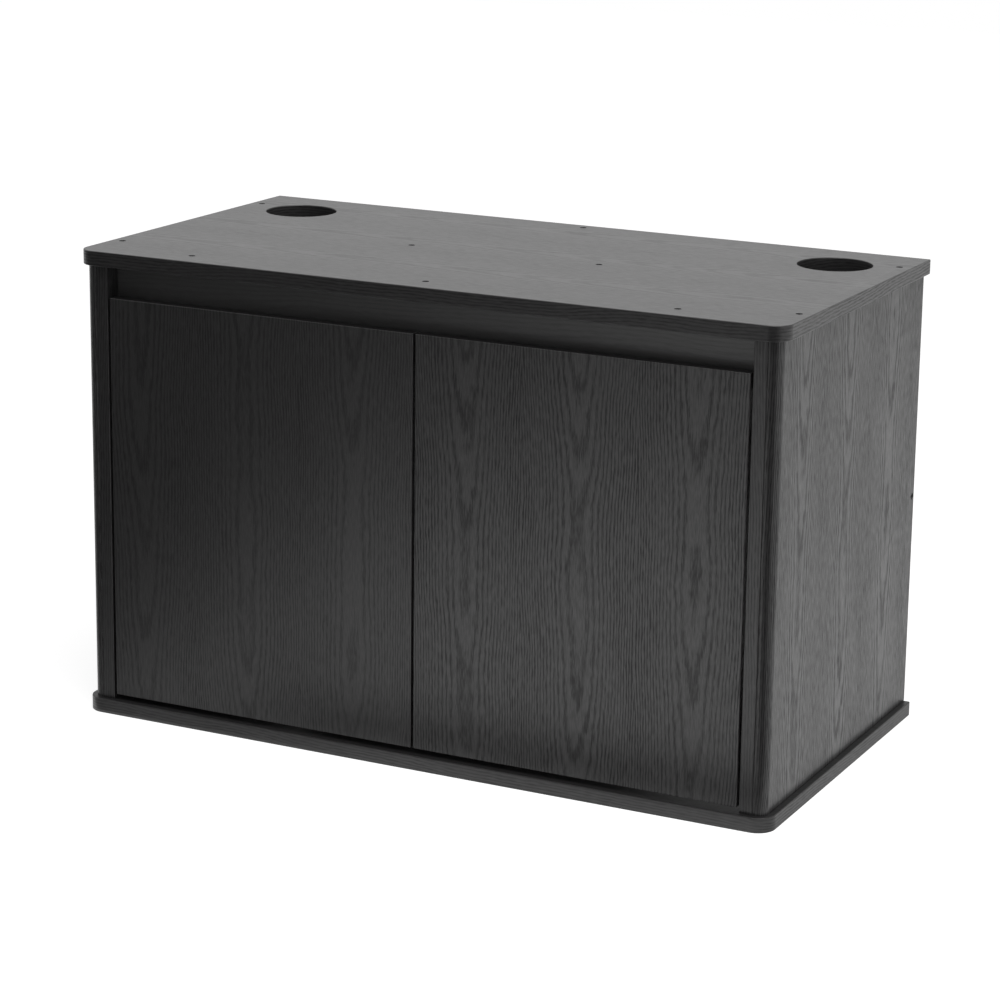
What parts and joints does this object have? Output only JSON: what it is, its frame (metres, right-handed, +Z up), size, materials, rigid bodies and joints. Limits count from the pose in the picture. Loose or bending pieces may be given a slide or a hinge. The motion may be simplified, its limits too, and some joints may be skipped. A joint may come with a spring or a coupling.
{
  "type": "aquarium cabinet",
  "caption": "Low black wood-grain cabinet for an aquarium: thick overhanging top and base boards, flush inset doors on concealed hinges, open back, round hose holes in the top.",
  "frame": {"origin": "middle of the footprint, on the floor", "axes": "+X to the cabinet's right as seen from the front, +Y towards its back, +Z up"},
  "size_m": [0.905, 0.47, 0.575],
  "materials": {
    "black_ash": "satin black ash wood-grain foil over particle board",
    "black_zinc": "black zinc",
    "beech": "plain turned beech",
    "nickel": "nickel-plated pressed steel",
    "black_plastic": "moulded black plastic"
  },
  "bodies": {
    "cabinet": {"base_board": "black_ash", "top_board": "black_ash", "left_side_panel": "black_ash", "right_side_panel": "black_ash", "left_hinge_batten": "black_ash", "right_hinge_batten": "black_ash", "header_rail": "black_ash", "centre_rail": "black_ash", "top_back_rail": "black_ash", "mid_back_rail": "black_ash", "top_screws": "black_zinc", "base_screws": "black_zinc", "back_rail_screws": "black_zinc", "batten_screws": "black_zinc", "rail_dowels": "beech", "left_hinge_arms": "nickel", "right_hinge_arms": "nickel", "left_hinge_plates": "nickel", "right_hinge_plates": "nickel", "left_plate_screws": "nickel", "right_plate_screws": "nickel", "left_arm_screws": "nickel", "right_arm_screws": "nickel", "catch_housing": "black_plastic", "catch_magnets": "nickel", "catch_screws": "black_zinc"},
    "left_door_leaf": {"left_door": "black_ash", "left_hinge_cups": "nickel", "left_hinge_pins": "nickel", "left_cup_screws": "nickel", "left_strike_plate": "nickel", "left_strike_screw": "nickel"},
    "right_door_leaf": {"right_door": "black_ash", "right_hinge_cups": "nickel", "right_hinge_pins": "nickel", "right_cup_screws": "nickel", "right_strike_plate": "nickel", "right_strike_screw": "nickel"}
  },
  "joints": [
    {"name": "left_door_swing", "type": "hinge", "parent": "cabinet", "child": "left_door_leaf", "pos_m": [-0.3995, -0.2207, 0.2715], "axis": [0, 0, -1], "range_deg": [0, 94]},
    {"name": "right_door_swing", "type": "hinge", "parent": "cabinet", "child": "right_door_leaf", "pos_m": [0.3995, -0.2207, 0.2715], "axis": [0, 0, 1], "range_deg": [0, 94]}
  ]
}
